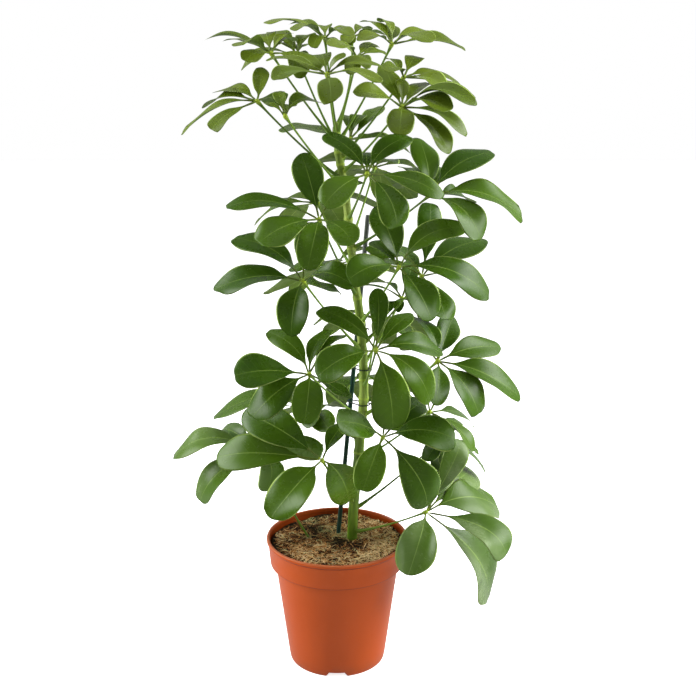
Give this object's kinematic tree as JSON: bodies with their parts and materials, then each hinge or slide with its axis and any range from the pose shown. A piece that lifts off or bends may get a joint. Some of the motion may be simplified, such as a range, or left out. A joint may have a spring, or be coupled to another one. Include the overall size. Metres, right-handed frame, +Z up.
{
  "type": "potted umbrella plant",
  "caption": "Umbrella plant in a clay-coloured plastic pot, its green trunk tied to a stake and its compound leaves spread in palm-like stars.",
  "frame": {"origin": "centre of the pot's underside, on the surface that the pot stands on", "axes": "+Z up along the plant, -Y the side that faces the picture's viewer, +X to the viewer's right"},
  "size_m": [0.4072, 0.3311, 0.76],
  "materials": {
    "clay_plastic": "moulded satin plastic",
    "growing_medium": "coarse fibre and bark",
    "green_trunk": "smooth green bark with leaf scars",
    "leaf": "glossy leaf",
    "stake_coating": "dark green coating",
    "tie_wire": "thin coated wire"
  },
  "bodies": {
    "root": {"pot": "clay_plastic", "growing_medium": "growing_medium", "trunk": "green_trunk", "support_stake": "stake_coating", "tie_upper": "tie_wire", "tie_middle": "tie_wire", "tie_lower": "tie_wire", "leaf_01": "leaf", "leaf_02": "leaf", "leaf_03": "leaf", "leaf_04": "leaf", "leaf_05": "leaf", "leaf_06": "leaf", "leaf_07": "leaf", "leaf_08": "leaf", "leaf_09": "leaf", "leaf_10": "leaf", "leaf_11": "leaf", "leaf_12": "leaf", "leaf_13": "leaf", "leaf_14": "leaf", "leaf_15": "leaf", "leaf_16": "leaf", "leaf_17": "leaf", "leaf_18": "leaf", "leaf_19": "leaf", "leaf_20": "leaf", "leaf_21": "leaf", "leaf_22": "leaf", "leaf_23": "leaf", "leaf_24": "leaf", "leaf_25": "leaf", "leaf_26": "leaf", "leaf_27": "leaf", "leaf_28": "leaf", "leaf_29": "leaf", "leaf_30": "leaf", "leaf_31": "leaf", "leaf_32": "leaf", "leaf_33": "leaf", "leaf_34": "leaf"}
  },
  "joints": []
}
